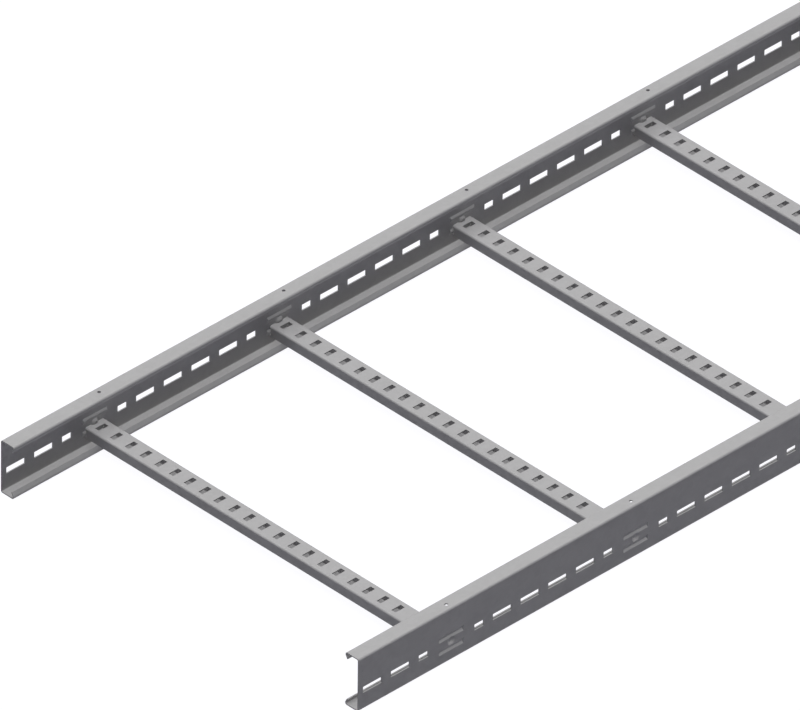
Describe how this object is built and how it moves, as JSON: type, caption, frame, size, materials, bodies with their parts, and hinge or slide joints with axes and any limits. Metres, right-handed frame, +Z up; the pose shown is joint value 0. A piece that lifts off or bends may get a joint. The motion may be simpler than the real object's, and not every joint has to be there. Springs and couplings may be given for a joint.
{
  "type": "cable ladder section",
  "caption": "Straight cable ladder length with inward-facing C side rails, slotted webs and perforated channel rungs between them.",
  "frame": {"origin": "middle of the underside, half way along the section and between the side rails", "axes": "+X along the side rails, +Y from the right side rail to the left one, +Z up"},
  "size_m": [3, 0.603, 0.075],
  "materials": {
    "galvanised_rail": "satin",
    "galvanised_rung": "satin"
  },
  "bodies": {
    "root": {"side_rail_right": "galvanised_rail", "side_rail_left": "galvanised_rail", "rung_01": "galvanised_rung", "rung_02": "galvanised_rung", "rung_03": "galvanised_rung", "rung_04": "galvanised_rung", "rung_05": "galvanised_rung", "rung_06": "galvanised_rung", "rung_07": "galvanised_rung", "rung_08": "galvanised_rung", "rung_09": "galvanised_rung", "rung_10": "galvanised_rung"}
  },
  "joints": []
}
